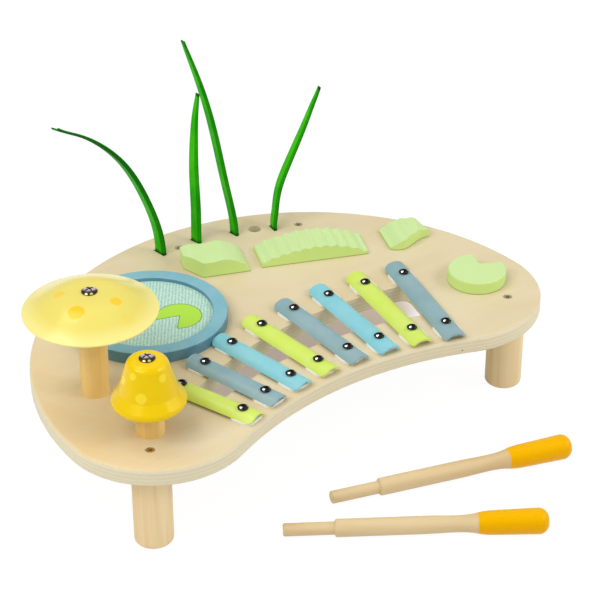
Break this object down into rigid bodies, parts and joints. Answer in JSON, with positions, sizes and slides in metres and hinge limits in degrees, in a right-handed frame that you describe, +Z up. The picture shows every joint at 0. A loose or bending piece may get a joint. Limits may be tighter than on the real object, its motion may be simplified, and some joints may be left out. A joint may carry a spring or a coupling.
{
  "type": "musical activity table",
  "caption": "Bean-shaped wooden activity table with a xylophone, drum, cymbal, bell, scraper blocks and grass blades, and loose mallets.",
  "frame": {"origin": "centre of the front left leg's foot, on the floor", "axes": "+X from the front left leg to the front right leg, along the board; +Y to the convex back edge; +Z up"},
  "size_m": [0.438, 0.4339, 0.279],
  "materials": {
    "plywood": "clear matt",
    "turned_wood": "clear matt",
    "mallet_wood": "clear matt",
    "blue_wood": "satin paint",
    "green_wood": "satin paint",
    "orange_wood": "satin paint",
    "green_metal": "gloss",
    "grey_blue_metal": "gloss",
    "teal_metal": "gloss",
    "pale_yellow_metal": "gloss",
    "yellow_metal": "gloss",
    "screw_steel": "bright",
    "foam": "matt",
    "felt": "matt",
    "drum_skin": "matt",
    "hoop_wood": "bare",
    "grass": "satin"
  },
  "bodies": {
    "table": {"tabletop": "plywood", "leg_front_left": "turned_wood", "leg_front_right": "turned_wood", "leg_back_left": "turned_wood", "leg_back_right": "turned_wood", "leg_screw_front_left": "screw_steel", "leg_screw_front_right": "screw_steel", "leg_screw_back_left": "screw_steel", "leg_screw_back_right": "screw_steel", "bar_1_pads": "foam", "bar_1_screws": "screw_steel", "bar_2_pads": "foam", "bar_2_screws": "screw_steel", "bar_3_pads": "foam", "bar_3_screws": "screw_steel", "bar_4_pads": "foam", "bar_4_screws": "screw_steel", "bar_5_pads": "foam", "bar_5_screws": "screw_steel", "bar_6_pads": "foam", "bar_6_screws": "screw_steel", "bar_7_pads": "foam", "bar_7_screws": "screw_steel", "bar_8_pads": "foam", "bar_8_screws": "screw_steel", "drum_ring": "blue_wood", "drum_head": "drum_skin", "drum_hoop": "hoop_wood", "drum_screws": "screw_steel", "cymbal_post": "turned_wood", "cymbal_washer": "felt", "cymbal_screw": "screw_steel", "cymbal_post_screw": "screw_steel", "bell_post": "turned_wood", "bell_washer": "felt", "bell_screw": "screw_steel", "bell_post_screw": "screw_steel", "grass_blade_1": "grass", "grass_blade_2": "grass", "grass_blade_3": "grass", "grass_blade_4": "grass", "plain_block": "green_wood", "ridged_block": "green_wood", "leaf_block": "green_wood", "lily_pad": "green_wood", "block_screws": "screw_steel"},
    "bar_1": {"bar_1": "green_metal"},
    "bar_2": {"bar_2": "grey_blue_metal"},
    "bar_3": {"bar_3": "teal_metal"},
    "bar_4": {"bar_4": "green_metal"},
    "bar_5": {"bar_5": "grey_blue_metal"},
    "bar_6": {"bar_6": "teal_metal"},
    "bar_7": {"bar_7": "green_metal"},
    "bar_8": {"bar_8": "grey_blue_metal"},
    "cymbal": {"cymbal": "pale_yellow_metal"},
    "bell": {"bell": "yellow_metal"},
    "mallet_1": {"mallet_1_stick": "mallet_wood", "mallet_1_head": "orange_wood"},
    "mallet_2": {"mallet_2_stick": "mallet_wood", "mallet_2_head": "orange_wood"}
  },
  "joints": [
    {"name": "bar_1_play", "type": "slide", "parent": "table", "child": "bar_1", "axis": [0, 0, 1], "range_m": [0, 0.0005]},
    {"name": "bar_2_play", "type": "slide", "parent": "table", "child": "bar_2", "axis": [0, 0, 1], "range_m": [0, 0.0005]},
    {"name": "bar_3_play", "type": "slide", "parent": "table", "child": "bar_3", "axis": [0, 0, 1], "range_m": [0, 0.0005]},
    {"name": "bar_4_play", "type": "slide", "parent": "table", "child": "bar_4", "axis": [0, 0, 1], "range_m": [0, 0.0005]},
    {"name": "bar_5_play", "type": "slide", "parent": "table", "child": "bar_5", "axis": [0, 0, 1], "range_m": [0, 0.0005]},
    {"name": "bar_6_play", "type": "slide", "parent": "table", "child": "bar_6", "axis": [0, 0, 1], "range_m": [0, 0.0005]},
    {"name": "bar_7_play", "type": "slide", "parent": "table", "child": "bar_7", "axis": [0, 0, 1], "range_m": [0, 0.0005]},
    {"name": "bar_8_play", "type": "slide", "parent": "table", "child": "bar_8", "axis": [0, 0, 1], "range_m": [0, 0.0005]},
    {"name": "cymbal_spin", "type": "hinge", "parent": "table", "child": "cymbal", "pos_m": [0.009, 0.088, 0.1695], "axis": [0, 0, 1], "continuous": true},
    {"name": "bell_spin", "type": "hinge", "parent": "table", "child": "bell", "pos_m": [0.013, 0.019, 0.1447], "axis": [0, 0, 1], "continuous": true},
    {"name": "mallet_1_lift", "type": "slide", "parent": "table", "child": "mallet_1", "axis": [0, 0, 1], "range_m": [0, 0.15]},
    {"name": "mallet_2_lift", "type": "slide", "parent": "table", "child": "mallet_2", "axis": [0, 0, 1], "range_m": [0, 0.15]}
  ]
}
